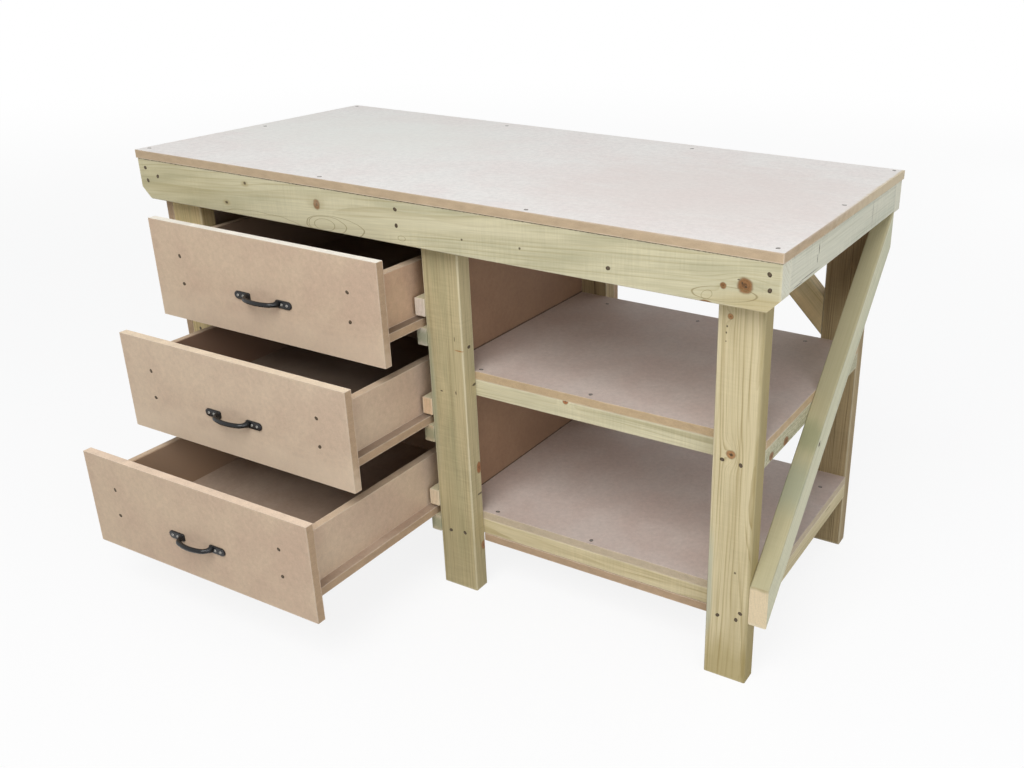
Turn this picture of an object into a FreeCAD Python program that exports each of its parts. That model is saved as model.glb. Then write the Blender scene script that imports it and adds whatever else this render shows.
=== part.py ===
"""Workbench: sawn timber frame, MDF worktop, three drawers on battens and two open shelves."""

import FreeCAD
import Part

import math
import os
import re

from FreeCAD import Rotation, Vector
from Sketcher import Constraint

# Driving dimensions, in millimetres. Heights are above the floor.
SIZES = {
    # Worktop, and the MDF sheet that every board is cut from.
    "top_length": 1524,
    "top_depth": 700,
    "bench_height": 900,
    "board": 18,
    "front_overhang": 2,
    "end_overhang": 2,
    "back_overhang": 8,
    # Timber sections, and the rounding of their long edges.
    "timber_thick": 38,
    "timber_wide": 89,
    "rail_wide": 63,
    "brace_wide": 63,
    "batten_thick": 25,
    "batten_wide": 38,
    "arris_radius": 3,
    "batten_chamfer": 1.5,
    "apron_clip": 25,
    # Layout of the two bays.
    "bay_wide": 619,
    "upper_shelf_top": 520,
    "lower_shelf_top": 186,
    "strip_wide": 63,
    "end_brace_drop": 35,
    "end_brace_heel": 28,
    "knee_brace_clearance": 7,
    # Drawer fronts, which lap over the bay's sides and share out the height below the apron.
    "front_lap": 2.5,
    "front_gap": 5,
    "apron_gap": 8,
    "lowest_front": 127,
    # Drawer boxes: the base rides on its lips, and the front hangs down past it.
    "box_side_high": 114,
    "box_clearance": 9.5,
    "lip_clearance": 13.5,
    "back_clearance": 24,
    "slot_clearance": 8,
    "front_drop": 40,
    # How far each drawer stands open.
    "top_open": 113,
    "middle_open": 229,
    "bottom_open": 362,
    # Cast bow handle.
    "handle_long": 158,
    "handle_height": 87,
    "plate_long": 43,
    "plate_wide": 17,
    "plate_thick": 3.5,
    "plate_edge": 1,
    "bow_thick": 10,
    "bow_reach": 24,
    "bow_corner": 16,
    "bow_foot": 4,
    # Handle screws.
    "screw_inset": 11,
    "screw_spacing": 14,
    "screw_shank": 3.5,
    "screw_head": 6.5,
    "screw_crown": 4,
    "screw_head_high": 1.6,
    "screw_bite": 12,
    "hole_clearance": 0.2,
}

# The knee brace spans this share of the shelf bay's width.
KNEE_BRACE_SHARE = 0.6362

doc = FreeCAD.newDocument("Workbench")
sheet = doc.addObject("Spreadsheet::Sheet", "Sizes")
for row, (name, size) in enumerate(SIZES.items(), start=1):
    sheet.set(f"A{row}", name)
    sheet.set(f"B{row}", str(size))
    sheet.setAlias(f"B{row}", name)
doc.recompute()

# Planes that many pieces share, as formulas of the sizes. X runs from the worktop's left end,
# Y from its front edge and Z from the floor.
LEFT_LEG = "(end_overhang + timber_thick)"
BAY_LEFT = f"({LEFT_LEG} + timber_wide)"
BAY_MIDDLE = f"({BAY_LEFT} + bay_wide / 2)"
MIDDLE_LEG = f"({BAY_LEFT} + bay_wide)"
SHELF_LEFT = f"({MIDDLE_LEG} + board)"
MIDDLE_LEG_RIGHT = f"({MIDDLE_LEG} + timber_wide)"
FRAME_RIGHT = "(top_length - end_overhang)"
LEGS_RIGHT = f"({FRAME_RIGHT} - timber_thick)"
RIGHT_LEG = f"({LEGS_RIGHT} - timber_wide)"

FRAME_FRONT = "front_overhang"
LEGS_FRONT = f"({FRAME_FRONT} + timber_thick)"
INSIDE_FRONT = f"({LEGS_FRONT} + timber_thick)"
FRAME_BACK = "(top_depth - back_overhang)"
LEGS_BACK = f"({FRAME_BACK} - timber_thick)"
INSIDE_BACK = f"({LEGS_BACK} - timber_thick)"
INSIDE_DEEP = f"({INSIDE_BACK} - {INSIDE_FRONT})"
LEGS_DEEP = f"({LEGS_BACK} - {LEGS_FRONT})"

UNDERSIDE = "(bench_height - board)"
APRON_LOW = f"({UNDERSIDE} - timber_wide)"
CASE_LOW = "(lower_shelf_top - board - timber_thick - board)"
CASE_HIGH = f"({APRON_LOW} - {CASE_LOW})"

# Drawers, from the bottom one up, with the size that says how far each stands open.
DRAWERS = {"bottom_drawer": "bottom_open", "middle_drawer": "middle_open", "top_drawer": "top_open"}
FRONTS_HIGH = f"({APRON_LOW} - apron_gap - lowest_front + front_gap)"
PITCH = f"({FRONTS_HIGH} / {len(DRAWERS)})"
FRONT_HIGH = f"({PITCH} - front_gap)"
FRONT_WIDE = "(bay_wide + 2 * front_lap)"
BASE_WIDE = "(bay_wide - 2 * lip_clearance)"
BOX_WIDE = "(bay_wide - 2 * (batten_thick + box_clearance))"
BOX_LONG = f"({LEGS_DEEP} - back_clearance)"

# The origin is on the floor under the middle of the bench, as it stands with its drawers open.
HANDLE_REACH = "(bow_reach + bow_thick / 2)"
OPEN_FRONT = f"({LEGS_FRONT} - board - bottom_open - {HANDLE_REACH})"
ORIGIN = ("top_length / 2", f"(top_depth + {OPEN_FRONT}) / 2", "0")

# The pad direction, the sketch plane across it, and whether the pad is turned to run along it.
PLANES = {"x": ("YZ_Plane", False), "y": ("XZ_Plane", True), "z": ("XY_Plane", False)}

# The property that holds the size of each kind of easing.
EASING_SIZES = {"Fillet": "Radius", "Chamfer": "Size"}

# How a sketch numbers a line's or an arc's ends, a circle's centre, its own axes and its origin.
START_INDEX, END_INDEX, CENTRE_INDEX = 1, 2, 3
X_AXIS_INDEX, Y_AXIS_INDEX = -1, -2
ORIGIN_INDEXES = (X_AXIS_INDEX, START_INDEX)

# Two directions are parallel when their cross product is under this share of their lengths.
PARALLEL_SHARE = 1e-6

pieces = []


def sized(formula):
    """A formula whose words are the names of sizes, as an expression that reads the sheet."""
    return re.sub(r"[a-z]\w+(?![\w(])", lambda word: "Sizes." + word.group(), formula)


def value(formula):
    """The number of millimetres that a formula gives."""
    return float(sheet.evalExpression(sized(formula)))


def bind(owner, formulas):
    """Binds properties of an object to formulas."""
    for path, formula in formulas.items():
        owner.setExpression(path, sized(formula))


def put(owner, place):
    """Moves an object's own origin to a place in the bench."""
    for axis, formula, zero in zip("xyz", place, ORIGIN):
        bind(owner, {f"Placement.Base.{axis}": f"{formula} - ({zero})"})
    return owner


def keep(owner, label):
    """Names a finished piece and lists it to be written out."""
    owner.Label = label
    pieces.append(owner)
    return owner


def new_body(label):
    return doc.addObject("PartDesign::Body", label + "_body")


def new_sketch(body, role, name):
    """A sketch on one of its body's own origin planes."""
    sketch = body.newObject("Sketcher::SketchObject", name)
    plane = next(item for item in body.Origin.OriginFeatures if item.Role == role)
    sketch.AttachmentSupport = [(plane, "")]
    sketch.MapMode = "FlatFace"
    return sketch


def hold(sketch, geometry, point, place):
    """Holds a point of a sketch at two formulas, measured along the sketch's axes."""
    for kind, axis, formula in zip(("DistanceX", "DistanceY"), (Y_AXIS_INDEX, X_AXIS_INDEX), place):
        if formula == "0":
            sketch.addConstraint(Constraint("PointOnObject", geometry, point, axis))
        else:
            constraint = Constraint(kind, *ORIGIN_INDEXES, geometry, point, value(formula))
            bind(sketch, {f"Constraints[{sketch.addConstraint(constraint)}]": formula})


def draw_outline(sketch, corners):
    """Draws a closed outline of straight lines through corners that are pairs of formulas."""
    points = [Vector(value(x), value(y), 0) for x, y in corners]
    for start, end in zip(points, points[1:] + points[:1]):
        sketch.addGeometry(Part.LineSegment(start, end))
    for line, corner in enumerate(corners):
        following = (line + 1) % len(corners)
        sketch.addConstraint(Constraint("Coincident", line, END_INDEX, following, START_INDEX))
        hold(sketch, line, START_INDEX, corner)


def draw_circle(sketch, centre, diameter):
    """Draws a circle whose centre and diameter are formulas."""
    middle = Vector(value(centre[0]), value(centre[1]), 0)
    radius = value(diameter) / 2
    circle = sketch.addGeometry(Part.Circle(middle, Vector(0, 0, 1), radius))
    hold(sketch, circle, CENTRE_INDEX, centre)
    index = sketch.addConstraint(Constraint("Diameter", circle, 2 * radius))
    bind(sketch, {f"Constraints[{index}]": diameter})


def rectangle(wide, high):
    return [("0", "0"), (wide, "0"), (wide, high), ("0", high)]


def edges_along(shape, direction):
    """The names of a shape's straight edges that run along a direction."""
    names = []
    for number, edge in enumerate(shape.Edges, start=1):
        run = edge.Vertexes[-1].Point - edge.Vertexes[0].Point
        if run.cross(direction).Length < PARALLEL_SHARE * run.Length:
            names.append(f"Edge{number}")
    return names


def prism(body, normal, outline, length):
    """Pads an outline along an axis, from the body's origin plane across that axis."""
    role, reverse = PLANES[normal]
    sketch = new_sketch(body, role, body.Name + "_outline")
    draw_outline(sketch, outline)
    pad = body.newObject("PartDesign::Pad", body.Name + "_pad")
    pad.Profile = sketch
    pad.Reversed = reverse
    bind(pad, {"Length": length})
    doc.recompute()
    return pad


def ease(body, kind, feature, edges, size):
    """Rounds or chamfers edges of a feature."""
    eased = body.newObject("PartDesign::" + kind, feature.Name + "_eased")
    eased.Base = (feature, edges)
    bind(eased, {EASING_SIZES[kind]: size})


def timber(label, normal, outline, length, place, grain):
    """A length of timber with its arrises rounded along the grain, cut to an outline."""
    body = new_body(label)
    pad = prism(body, normal, outline, length)
    ease(body, "Fillet", pad, edges_along(pad.Shape, grain), "arris_radius")
    return keep(put(body, place), label)


def straight_timber(label, normal, section, length, place):
    """A square-ended timber that runs along an axis."""
    grain = Vector(*(float(axis == normal) for axis in "xyz"))
    return timber(label, normal, rectangle(*section), length, place, grain)


def sheet_board(label, extent, place):
    """A square-edged board cut from the MDF sheet."""
    box = doc.addObject("Part::Box", label + "_box")
    bind(box, dict(zip(("Length", "Width", "Height"), extent)))
    return keep(put(box, place), label)


def make_worktop():
    sheet_board("worktop", ("top_length", "top_depth", "board"), ("0", "0", UNDERSIDE))


def make_aprons():
    """Four aprons on edge under the worktop, and the cross rail beside the middle legs."""
    long = f"({FRAME_RIGHT} - end_overhang)"
    clipped = [
        ("apron_clip", "0"),
        (f"{long} - apron_clip", "0"),
        (long, "apron_clip"),
        (long, "timber_wide"),
        ("0", "timber_wide"),
        ("0", "apron_clip"),
    ]
    for label, y in (("apron_front", FRAME_FRONT), ("apron_back", LEGS_BACK)):
        place = ("end_overhang", y, APRON_LOW)
        timber(label, "y", clipped, "timber_thick", place, Vector(1, 0, 0))
    across = {
        "apron_left": "end_overhang",
        "apron_right": LEGS_RIGHT,
        "cross_rail": f"({MIDDLE_LEG} - timber_thick)",
    }
    for label, x in across.items():
        section = ("timber_thick", "timber_wide")
        straight_timber(label, "y", section, LEGS_DEEP, (x, LEGS_FRONT, APRON_LOW))


def make_legs():
    """Six legs, which stand inside the aprons and carry the worktop on their ends."""
    columns = {"left": LEFT_LEG, "middle": MIDDLE_LEG, "right": RIGHT_LEG}
    rows = {"front": LEGS_FRONT, "back": INSIDE_BACK}
    for row, y in rows.items():
        for column, x in columns.items():
            section = ("timber_wide", "timber_thick")
            straight_timber(f"leg_{row}_{column}", "z", section, UNDERSIDE, (x, y, "0"))


def make_panels():
    """The boards that close the drawer bay at its left, its back and its right."""
    sheet_board(
        "side_panel",
        ("board", LEGS_DEEP, CASE_HIGH),
        (f"({LEFT_LEG} - board)", LEGS_FRONT, CASE_LOW),
    )
    sheet_board(
        "back_panel",
        (f"({MIDDLE_LEG_RIGHT} - {LEFT_LEG})", "board", CASE_HIGH),
        (LEFT_LEG, LEGS_BACK, CASE_LOW),
    )
    sheet_board(
        "partition",
        ("board", INSIDE_DEEP, f"({UNDERSIDE} - {CASE_LOW})"),
        (MIDDLE_LEG, INSIDE_FRONT, CASE_LOW),
    )


def make_shelf(name, top):
    """A shelf board on a frame of four rails laid flat between the legs."""
    wide = f"({LEGS_RIGHT} - {SHELF_LEFT})"
    rail_low = f"({top} - board - timber_thick)"
    section = ("rail_wide", "timber_thick")
    extent = (wide, INSIDE_DEEP, "board")
    sheet_board(name, extent, (SHELF_LEFT, INSIDE_FRONT, f"({top} - board)"))
    for side, x in (("left", SHELF_LEFT), ("right", f"({LEGS_RIGHT} - rail_wide)")):
        place = (x, INSIDE_FRONT, rail_low)
        straight_timber(f"{name}_rail_{side}", "y", section, INSIDE_DEEP, place)
    between = f"({wide} - 2 * rail_wide)"
    for side, y in (("front", INSIDE_FRONT), ("back", f"({INSIDE_BACK} - rail_wide)")):
        place = (f"({SHELF_LEFT} + rail_wide)", y, rail_low)
        straight_timber(f"{name}_rail_{side}", "x", section, between, place)


def make_strip():
    """The strip of board under the lower front rail, between the legs."""
    sheet_board(
        "lower_shelf_strip",
        (f"({RIGHT_LEG} - {MIDDLE_LEG_RIGHT})", "strip_wide", "board"),
        (MIDDLE_LEG_RIGHT, INSIDE_FRONT, CASE_LOW),
    )


def plumb_cut(run, rise):
    """The length of the upright cut across a brace that rises this much over a level run."""
    return f"(brace_wide * sqrt({run}^2 + {rise}^2) / {run})"


def make_braces():
    """Two braces at 45 degrees: one outside the right legs and one beside the back right leg."""
    foot = "(lower_shelf_top - end_brace_drop)"
    rise = f"({APRON_LOW} - {foot})"
    climb = f"({rise} - end_brace_heel)"
    plumb = plumb_cut(LEGS_DEEP, climb)
    outline = [
        ("0", "0"),
        (LEGS_DEEP, climb),
        (LEGS_DEEP, rise),
        (f"(({rise} - {plumb}) * {LEGS_DEEP} / {climb})", rise),
        ("0", plumb),
    ]
    grain = Vector(0, value(LEGS_DEEP), value(climb))
    timber("end_brace", "x", outline, "timber_thick", (LEGS_RIGHT, LEGS_FRONT, foot), grain)

    foot = "(upper_shelf_top + knee_brace_clearance)"
    rise = f"({UNDERSIDE} - {foot})"
    run = f"({KNEE_BRACE_SHARE} * ({RIGHT_LEG} - {MIDDLE_LEG_RIGHT}))"
    outline = [(run, "0"), (run, plumb_cut(run, rise)), (plumb_cut(rise, run), rise), ("0", rise)]
    place = (f"({RIGHT_LEG} - {run})", INSIDE_BACK, foot)
    grain = Vector(value(run), 0, -value(rise))
    timber("knee_brace", "y", outline, "timber_thick", place, grain)


def make_runners(name, base_low):
    """An upper and a lower batten at each side of the bay, with the slot for a lip between."""
    slot = "(board + slot_clearance)"
    section = rectangle("batten_thick", "batten_wide")
    sides = {"left": BAY_LEFT, "right": f"({MIDDLE_LEG} - batten_thick)"}
    for side, x in sides.items():
        label = f"{name}_runners_{side}"
        battens = [new_body(f"{label}_{level}") for level in ("lower", "upper")]
        for batten in battens:
            pad = prism(batten, "y", section, LEGS_DEEP)
            arrises = edges_along(pad.Shape, Vector(0, 1, 0))
            ease(batten, "Chamfer", pad, arrises, "batten_chamfer")
        bind(battens[1], {"Placement.Base.z": f"batten_wide + {slot}"})
        pair = doc.addObject("Part::Compound", label + "_pair")
        pair.Links = battens
        keep(put(pair, (x, LEGS_FRONT, f"({base_low} - batten_wide)")), label)


def screw_places(middle, height):
    """The places of the four handle screws on a plane, about the handle's middle."""
    outer = "(handle_long / 2 - screw_inset)"
    inner = f"({outer} - screw_spacing)"
    return [(f"({middle} {sign} {run})", height) for sign in "-+" for run in (outer, inner)]


def cut_holes(body, places, depth, reverse):
    """Cuts a screw hole at each place, from the body's own front plane."""
    sketch = new_sketch(body, "XZ_Plane", body.Name + "_holes")
    for place in places:
        draw_circle(sketch, place, "(screw_shank + hole_clearance)")
    pocket = body.newObject("PartDesign::Pocket", body.Name + "_pocket")
    pocket.Profile = sketch
    pocket.Reversed = reverse
    bind(pocket, {"Length": depth})


def make_front(label, place):
    """A drawer front with blind holes for the handle screws in its outer face."""
    body = new_body(label)
    prism(body, "y", rectangle(FRONT_WIDE, FRONT_HIGH), "board")
    places = screw_places(f"{FRONT_WIDE} / 2", "handle_height")
    cut_holes(body, places, "screw_bite + hole_clearance", False)
    keep(put(body, place), label)


def draw_plate(sketch):
    """Draws one end plate: square towards the bow and round at the handle's end."""
    inner = "(handle_long / 2 - plate_long)"
    turn = "(handle_long / 2 - plate_wide / 2)"
    low = "(0 - plate_wide / 2)"
    high = "(plate_wide / 2)"
    corners = [(turn, high), (inner, high), (inner, low), (turn, low)]
    points = [Vector(value(x), value(y), 0) for x, y in corners]
    for start, end in zip(points, points[1:]):
        sketch.addGeometry(Part.LineSegment(start, end))
    middle = Vector(value(turn), 0, 0)
    circle = Part.Circle(middle, Vector(0, 0, 1), value(high))
    arc = sketch.addGeometry(Part.ArcOfCircle(circle, -math.pi / 2, math.pi / 2))
    for line, corner in enumerate(corners[:-1]):
        hold(sketch, line, START_INDEX, corner)
        following = (line + 1) if line + 1 < arc else arc
        sketch.addConstraint(Constraint("Coincident", line, END_INDEX, following, START_INDEX))
    hold(sketch, arc, START_INDEX, corners[-1])
    sketch.addConstraint(Constraint("Coincident", arc, END_INDEX, 0, START_INDEX))
    sketch.addConstraint(Constraint("Vertical", arc, START_INDEX, arc, CENTRE_INDEX))


def draw_bow(sketch, foot_x):
    """Draws half of the bow's centre line: straight foot, tight corner, then one long curve."""
    foot_line, corner_arc, long_arc = range(3)
    up = Vector(0, 0, 1)
    foot = Vector(value(foot_x), 0, 0)
    corner_start = Vector(foot.x, -value("bow_foot"), 0)
    corner = value("bow_corner")
    across = foot.x - corner
    depth = value("bow_reach - bow_foot")
    long = (across**2 + depth**2 - corner**2) / (2 * (depth - corner))
    slope = math.asin(across / (long - corner))
    sketch.addGeometry(Part.LineSegment(foot, corner_start))
    circle = Part.Circle(Vector(across, corner_start.y, 0), up, corner)
    sketch.addGeometry(Part.ArcOfCircle(circle, slope - math.pi / 2, 0))
    circle = Part.Circle(Vector(0, long - value("bow_reach"), 0), up, long)
    sketch.addGeometry(Part.ArcOfCircle(circle, -math.pi / 2, slope - math.pi / 2))
    hold(sketch, foot_line, START_INDEX, (foot_x, "0"))
    hold(sketch, foot_line, END_INDEX, (foot_x, "(0 - bow_foot)"))
    hold(sketch, long_arc, START_INDEX, ("0", "(0 - bow_reach)"))
    sketch.addConstraint(Constraint("Tangent", foot_line, END_INDEX, corner_arc, END_INDEX))
    sketch.addConstraint(Constraint("Tangent", corner_arc, START_INDEX, long_arc, END_INDEX))
    sketch.addConstraint(Constraint("PointOnObject", long_arc, CENTRE_INDEX, Y_AXIS_INDEX))
    index = sketch.addConstraint(Constraint("Radius", corner_arc, corner))
    bind(sketch, {f"Constraints[{index}]": "bow_corner"})


def make_handle(label, place):
    """A cast handle: two flat end plates joined by a round bow that stands out in front."""
    body = new_body(label)
    plate = new_sketch(body, "XZ_Plane", label + "_plate")
    draw_plate(plate)
    pad = body.newObject("PartDesign::Pad", label + "_plate_pad")
    pad.Profile = plate
    bind(pad, {"Length": "plate_thick"})
    doc.recompute()

    middle = -value("plate_thick") / 2
    rim = [
        f"Edge{number}"
        for number, edge in enumerate(pad.Shape.Edges, start=1)
        if edge.BoundBox.YMax < middle
    ]
    ease(body, "Chamfer", pad, rim, "plate_edge")

    foot_x = "(handle_long / 2 - plate_long + bow_thick / 2 + plate_edge)"
    section = new_sketch(body, "XZ_Plane", label + "_bow_section")
    draw_circle(section, (foot_x, "0"), "bow_thick")
    path = new_sketch(body, "XY_Plane", label + "_bow_path")
    draw_bow(path, foot_x)
    doc.recompute()
    bow = body.newObject("PartDesign::AdditivePipe", label + "_bow")
    bow.Profile = section
    bow.Spine = (path, [f"Edge{number + 1}" for number in range(len(path.Shape.Edges))])
    doc.recompute()

    outer = "(handle_long / 2 - screw_inset)"
    places = [(outer, "0"), (f"({outer} - screw_spacing)", "0")]
    cut_holes(body, places, "plate_thick", True)

    mirror = body.newObject("PartDesign::Mirrored", label + "_mirror")
    mirror.TransformMode = "Whole shape"
    plane = next(item for item in body.Origin.OriginFeatures if item.Role == "YZ_Plane")
    mirror.MirrorPlane = (plane, [""])
    body.Tip = mirror
    keep(put(body, place), label)


def make_screws(label, place):
    """The four handle screws, whose heads seat on the plates."""
    forward = Rotation(Vector(1, 0, 0), -90)
    screws = []
    for number, (x, z) in enumerate(screw_places("0", "0")):
        shank = doc.addObject("Part::Cylinder", f"{label}_shank_{number}")
        shank.Placement.Rotation = forward
        head = doc.addObject("Part::Cone", f"{label}_head_{number}")
        head.Placement.Rotation = forward
        bind(shank, {
            "Radius": "screw_shank / 2",
            "Height": "screw_head_high / 2 + plate_thick + screw_bite",
            "Placement.Base.x": x,
            "Placement.Base.y": "0 - plate_thick - screw_head_high / 2",
        })
        bind(head, {
            "Radius1": "screw_crown / 2",
            "Radius2": "screw_head / 2",
            "Height": "screw_head_high",
            "Placement.Base.x": x,
            "Placement.Base.y": "0 - plate_thick - screw_head_high",
        })
        screw = doc.addObject("Part::Fuse", f"{label}_{number}")
        screw.Base = head
        screw.Tool = shank
        screws.append(screw)
    group = doc.addObject("Part::Compound", label + "_group")
    group.Links = screws
    keep(put(group, place), label)


def make_drawer(name, opening, front_low):
    """A drawer box with its false front, standing out of the bay by its opening."""
    box_front = f"({LEGS_FRONT} - {opening})"
    front_face = f"({box_front} - board)"
    base_low = f"({front_low} + front_drop)"
    floor = f"({base_low} + board)"
    left = f"({BAY_LEFT} + batten_thick + box_clearance)"
    make_front(f"{name}_front", (f"({BAY_LEFT} - front_lap)", front_face, front_low))
    place = (f"({BAY_LEFT} + lip_clearance)", box_front, base_low)
    sheet_board(f"{name}_base", (BASE_WIDE, BOX_LONG, "board"), place)
    extent = ("board", BOX_LONG, "box_side_high")
    for side, x in (("left", left), ("right", f"({left} + {BOX_WIDE} - board)")):
        sheet_board(f"{name}_side_{side}", extent, (x, box_front, floor))
    extent = (f"({BOX_WIDE} - 2 * board)", "board", "box_side_high")
    for end, y in (("inner_front", box_front), ("back", f"({box_front} + {BOX_LONG} - board)")):
        sheet_board(f"{name}_{end}", extent, (f"({left} + board)", y, floor))
    handle_place = (BAY_MIDDLE, front_face, f"({front_low} + handle_height)")
    make_handle(f"{name}_handle", handle_place)
    make_screws(f"{name}_handle_screws", handle_place)
    make_runners(name, base_low)


def write_pieces():
    """Checks every object and each piece's shape, then writes the pieces as STEP files."""
    doc.recompute()
    for item in doc.Objects:
        if {"Invalid", "Error"} & set(item.State):
            raise RuntimeError(f"{item.Label} is {item.State}")
    for piece in pieces:
        if piece.Shape.isNull() or not piece.Shape.isValid() or not piece.Shape.Solids:
            raise RuntimeError(f"{piece.Label} has no valid shape")
    os.makedirs("parts", exist_ok=True)
    for piece in pieces:
        piece.Shape.exportStep(f"parts/{piece.Label}.step")
    print(len(pieces), "pieces")


make_worktop()
make_aprons()
make_legs()
make_panels()
make_shelf("upper_shelf", "upper_shelf_top")
make_shelf("lower_shelf", "lower_shelf_top")
make_strip()
make_braces()
for level, (name, opening) in enumerate(DRAWERS.items()):
    make_drawer(name, opening, f"(lowest_front + {level} * {PITCH})")
write_pieces()
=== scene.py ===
"""Workbench: treated softwood frame, MDF boards, cast handles and the screws that hold it.

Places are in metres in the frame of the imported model: X along the bench, -Y towards its front and
Z up.
"""

import math

import bpy
import numpy as np
from mathutils import Matrix, Vector


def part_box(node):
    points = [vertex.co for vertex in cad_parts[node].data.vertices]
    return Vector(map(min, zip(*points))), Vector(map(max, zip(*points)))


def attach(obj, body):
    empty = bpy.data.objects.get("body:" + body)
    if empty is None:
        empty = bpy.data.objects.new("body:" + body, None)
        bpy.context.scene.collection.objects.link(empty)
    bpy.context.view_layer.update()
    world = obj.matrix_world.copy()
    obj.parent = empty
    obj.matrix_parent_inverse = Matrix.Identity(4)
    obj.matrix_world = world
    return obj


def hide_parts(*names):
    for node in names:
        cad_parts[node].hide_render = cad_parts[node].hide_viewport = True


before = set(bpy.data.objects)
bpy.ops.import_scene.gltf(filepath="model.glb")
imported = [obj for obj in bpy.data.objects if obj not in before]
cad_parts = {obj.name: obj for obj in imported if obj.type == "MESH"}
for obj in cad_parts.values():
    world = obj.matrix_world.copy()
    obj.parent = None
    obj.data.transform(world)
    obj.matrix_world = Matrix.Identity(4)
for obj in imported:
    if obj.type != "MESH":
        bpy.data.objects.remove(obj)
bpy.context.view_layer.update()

MM = 0.001
X, Y, Z = Vector((1, 0, 0)), Vector((0, 1, 0)), Vector((0, 0, 1))


def cad_corners(node):
    """The low and the high corner of a CAD node's box."""
    return [Vector(corner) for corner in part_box(node)]


def colour(code):
    """A linear colour from the six hex digits of a screen colour."""
    parts = [int(code[i : i + 2], 16) / 255 for i in (0, 2, 4)]
    linear = [c / 12.92 if c <= 0.04045 else ((c + 0.055) / 1.055) ** 2.4 for c in parts]
    return (*linear, 1.0)


def shades(**codes):
    """Named colours from their screen colours, for a finish's settings."""
    return {name: colour(code) for name, code in codes.items()}


# Shader building blocks


def connect(tree, source, socket):
    """Links an output to a socket, or sets the socket's own value."""
    if isinstance(source, bpy.types.NodeSocket):
        tree.links.new(source, socket)
    else:
        socket.default_value = source


def add_node(tree, kind, inputs=None, **settings):
    """A node with its settings, and with its inputs linked or set."""
    node = tree.nodes.new(kind)
    for name, setting in settings.items():
        setattr(node, name, setting)
    for socket, source in (inputs or {}).items():
        connect(tree, source, node.inputs[socket])
    return node


SPARE = 0.0


def calculate(tree, operation, number, *others):
    """A step of arithmetic; more than two numbers are taken in turn, from the left.

    What works on one number, such as a sine, makes no use of the spare one.
    """
    for other in others or (SPARE,):
        inputs = {0: number, 1: other}
        number = add_node(tree, "ShaderNodeMath", inputs, operation=operation).outputs[0]
    return number


def combine(tree, operation, *vectors):
    """A step of vector arithmetic; a dot product or a length comes out as a number."""
    inputs = dict(enumerate(vectors))
    node = add_node(tree, "ShaderNodeVectorMath", inputs, operation=operation)
    return node.outputs["Value" if operation in ("DOT_PRODUCT", "LENGTH") else "Vector"]


def scale(tree, vector, number):
    """A vector or a colour times a number."""
    inputs = {0: vector, 3: number}
    return add_node(tree, "ShaderNodeVectorMath", inputs, operation="SCALE").outputs["Vector"]


def rise(tree, value, low, high):
    """A smooth step from 0 where the value is low to 1 where it is high."""
    inputs = {"Value": value, "From Min": low, "From Max": high}
    node = add_node(tree, "ShaderNodeMapRange", inputs, interpolation_type="SMOOTHSTEP")
    return node.outputs[0]


def fall(tree, value, low, high):
    """A smooth step from 1 where the value is low to 0 where it is high."""
    inputs = {"Value": value, "From Min": low, "From Max": high, "To Min": 1.0, "To Max": 0.0}
    node = add_node(tree, "ShaderNodeMapRange", inputs, interpolation_type="SMOOTHSTEP")
    return node.outputs[0]


def tint(tree, amount, under, over):
    """Lays one colour over another by an amount."""
    node = add_node(tree, "ShaderNodeMix", data_type="RGBA")
    for index, source in ((0, amount), (6, under), (7, over)):
        connect(tree, source, node.inputs[index])
    return node.outputs[2]


def cloud(tree, position, per_metre, detail=2.0, roughness=0.5):
    """Noise from 0 to 1 whose features come so many to the metre along each axis."""
    spread = combine(tree, "MULTIPLY", position, per_metre)
    inputs = {"Vector": spread, "Scale": 1.0, "Detail": detail, "Roughness": roughness}
    return add_node(tree, "ShaderNodeTexNoise", inputs).outputs[0]


def centred(tree, value, reach):
    """Turns noise from 0 to 1 into noise about zero that reaches so far each way."""
    return calculate(tree, "MULTIPLY", calculate(tree, "SUBTRACT", value, 0.5), 2 * reach)


def shear(tree, position, slope, start):
    """Shears a position so that what runs level there climbs by the slope from a start along X."""
    run = calculate(tree, "SUBTRACT", combine(tree, "DOT_PRODUCT", position, (1, 0, 0)), start)
    climb = calculate(tree, "MULTIPLY", run, slope)
    return combine(tree, "SUBTRACT", position, scale(tree, (0, 1, 0), climb))


def new_group(name, inputs, outputs):
    """A node group; returns its tree, its inputs by name and its output node."""
    tree = bpy.data.node_groups.new(name, "ShaderNodeTree")
    for label, (kind, default) in inputs.items():
        socket = tree.interface.new_socket(label, in_out="INPUT", socket_type="NodeSocket" + kind)
        socket.default_value = default
    for label, kind in outputs.items():
        tree.interface.new_socket(label, in_out="OUTPUT", socket_type="NodeSocket" + kind)
    given = tree.nodes.new("NodeGroupInput").outputs
    return tree, given, tree.nodes.new("NodeGroupOutput")


def use_group(tree, group, inputs):
    """Places a node group and returns its outputs."""
    node = add_node(tree, "ShaderNodeGroup", node_tree=group)
    for socket, source in inputs.items():
        connect(tree, source, node.inputs[socket])
    return node.outputs


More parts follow.
